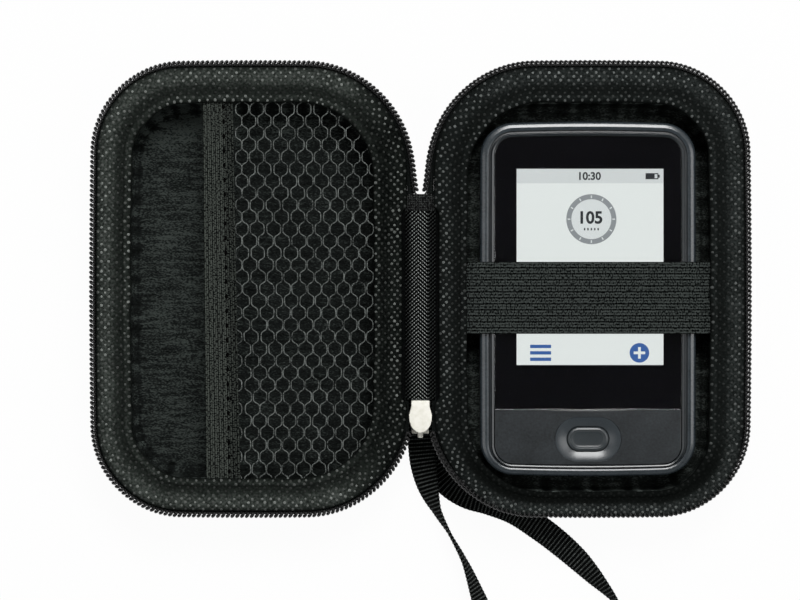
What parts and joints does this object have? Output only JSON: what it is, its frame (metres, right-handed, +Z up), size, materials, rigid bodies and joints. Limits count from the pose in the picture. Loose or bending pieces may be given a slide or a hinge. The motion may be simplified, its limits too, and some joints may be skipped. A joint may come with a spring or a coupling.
{
  "type": "glucose meter case",
  "caption": "Zip-round foam hard case that opens flat on a fabric spine, with a net pocket in the lid and an elastic strap over a handheld glucose meter in the tray.",
  "frame": {"origin": "on the table under the hinge line, midway along the spine edge of the open case", "axes": "+X from the hinge line across the tray, +Y towards the top end of the meter, +Z up out of the open case"},
  "size_m": [0.1954, 0.1991, 0.0228],
  "materials": {
    "shell_cloth": "woven polyester laminated on moulded foam",
    "lining_cloth": "knitted lining on soft foam, slightly creased",
    "binding_cloth": "pressed non-woven binding with raised dots",
    "zip_tape_cloth": "woven zip tape",
    "zip_nylon": "moulded nylon teeth",
    "elastic_cloth": "ribbed elastic webbing",
    "net_cord": "knitted hexagonal net",
    "spine_cloth": "herringbone woven tape",
    "wrist_webbing": "ribbed flat webbing",
    "slider_metal": "pale cream lacquer",
    "housing_plastic": "fine matt texture",
    "bezel_plastic": "satin blue-grey",
    "front_glass": "black-backed cover glass",
    "fascia_plastic": "satin dark grey",
    "button_plastic": "satin dark grey",
    "display_face": "lit display",
    "carrier_plastic": "moulded",
    "board_laminate": "solder mask",
    "bright_steel": "plated",
    "battery_foil": "foil pouch",
    "speaker_plastic": "moulded"
  },
  "bodies": {
    "tray": {"tray_shell": "shell_cloth", "tray_lining": "lining_cloth", "tray_edge_binding": "binding_cloth", "tray_zip_tape": "zip_tape_cloth", "tray_zip_teeth": "zip_nylon", "elastic_strap": "elastic_cloth", "spine_tape": "spine_cloth", "zip_end_tab": "zip_tape_cloth", "slider_body": "slider_metal", "strap_anchor": "wrist_webbing", "wrist_strap": "wrist_webbing", "meter_rear_cover": "housing_plastic", "meter_bezel": "bezel_plastic", "front_glass": "front_glass", "front_fascia": "fascia_plastic", "button_switch": "bright_steel", "display_panel": "display_face", "display_carrier": "carrier_plastic", "circuit_board": "board_laminate", "charge_socket": "bright_steel", "battery_pack": "battery_foil", "vibration_motor": "bright_steel", "speaker": "speaker_plastic", "board_screw_1": "bright_steel", "board_screw_2": "bright_steel", "board_screw_3": "bright_steel", "board_screw_4": "bright_steel"},
    "lid": {"lid_shell": "shell_cloth", "lid_lining": "lining_cloth", "lid_edge_binding": "binding_cloth", "lid_zip_tape": "zip_tape_cloth", "lid_zip_teeth": "zip_nylon", "pocket_net": "net_cord", "pocket_band": "elastic_cloth"},
    "home_button": {"home_button": "button_plastic"},
    "pull_tab": {"pull_tab": "slider_metal"}
  },
  "joints": [
    {"name": "lid_hinge", "type": "hinge", "parent": "tray", "child": "lid", "pos_m": [0, 0, 0.023], "axis": [0, 1, 0], "range_deg": [0, 180], "deforming": ["spine_tape"]},
    {"name": "home_button_press", "type": "slide", "parent": "tray", "child": "home_button", "axis": [0, 0, -1], "range_m": [0, 0.0005], "stiffness_N_per_m": 800},
    {"name": "pull_tab_swing", "type": "hinge", "parent": "tray", "child": "pull_tab", "pos_m": [0, -0.0422, 0.01665], "axis": [-1, 0, 0], "range_deg": [-25, 95]}
  ]
}
